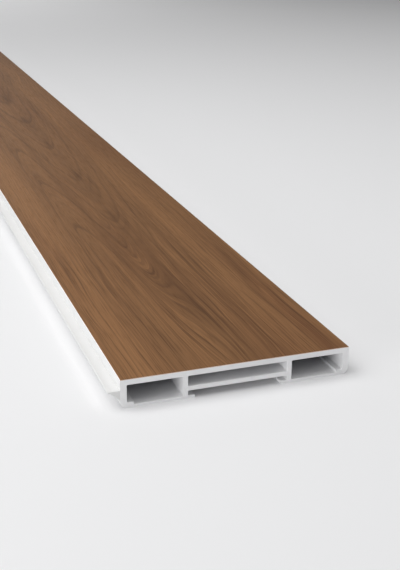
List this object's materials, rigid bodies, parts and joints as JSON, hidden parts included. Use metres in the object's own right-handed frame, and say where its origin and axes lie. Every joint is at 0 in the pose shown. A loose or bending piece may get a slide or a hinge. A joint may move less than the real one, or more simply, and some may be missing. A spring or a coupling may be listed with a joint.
{
  "type": "skirting board",
  "caption": "Hollow plastic skirting board lying on its back, with a wood-look film, a clip channel along its back and a soft sealing lip on its floor edge.",
  "frame": {"origin": "middle of the clip channel's mouth, in the plane of the back face, at half the board's length", "axes": "+X across the board, from the lipped floor edge to the top edge; +Y along the board; +Z from the back face to the show face"},
  "size_m": [0.105, 2.5, 0.0125],
  "materials": {
    "hard_white_plastic": "satin white rigid vinyl",
    "walnut_film": "satin walnut decor film",
    "soft_white_plastic": "matte white soft vinyl"
  },
  "bodies": {
    "root": {"profile": "hard_white_plastic", "decor_film": "walnut_film", "sealing_lip": "soft_white_plastic"}
  },
  "joints": []
}
